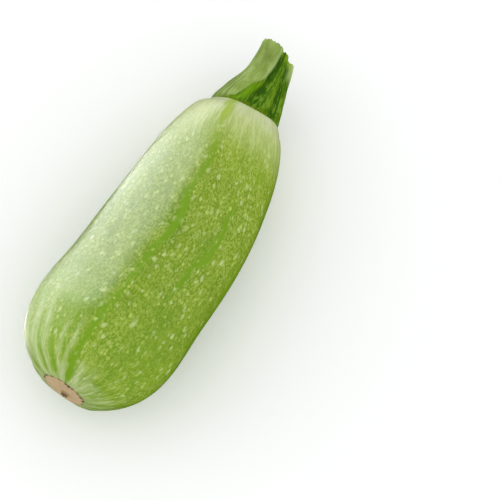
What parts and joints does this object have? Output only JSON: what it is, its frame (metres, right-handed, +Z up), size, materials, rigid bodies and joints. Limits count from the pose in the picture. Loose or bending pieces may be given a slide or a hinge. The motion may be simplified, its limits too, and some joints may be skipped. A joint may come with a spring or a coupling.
{
  "type": "whole unpeeled summer squash with stem",
  "caption": "Whole pale green courgette, unpeeled, lying on its belly, with a ridged cut stem and a corky blossom scar; food prop or picking target.",
  "frame": {"origin": "on the floor, under the middle of the outline", "axes": "+Z up from the floor, +X along the body towards the stem, -Y towards the outer side of the bow"},
  "size_m": [0.193, 0.0732, 0.0717],
  "materials": {
    "skin": "waxy satin plant skin, pale yellow-green with light speckles and ten darker green stripes",
    "stem_green": "matt fibrous plant stem, dark green, with a pale pith on the cut end",
    "cork": "dry corky scar tissue, pinkish tan with dark brown spots"
  },
  "bodies": {
    "root": {"fruit": "skin", "stem": "stem_green", "blossom_scar": "cork"}
  },
  "joints": []
}
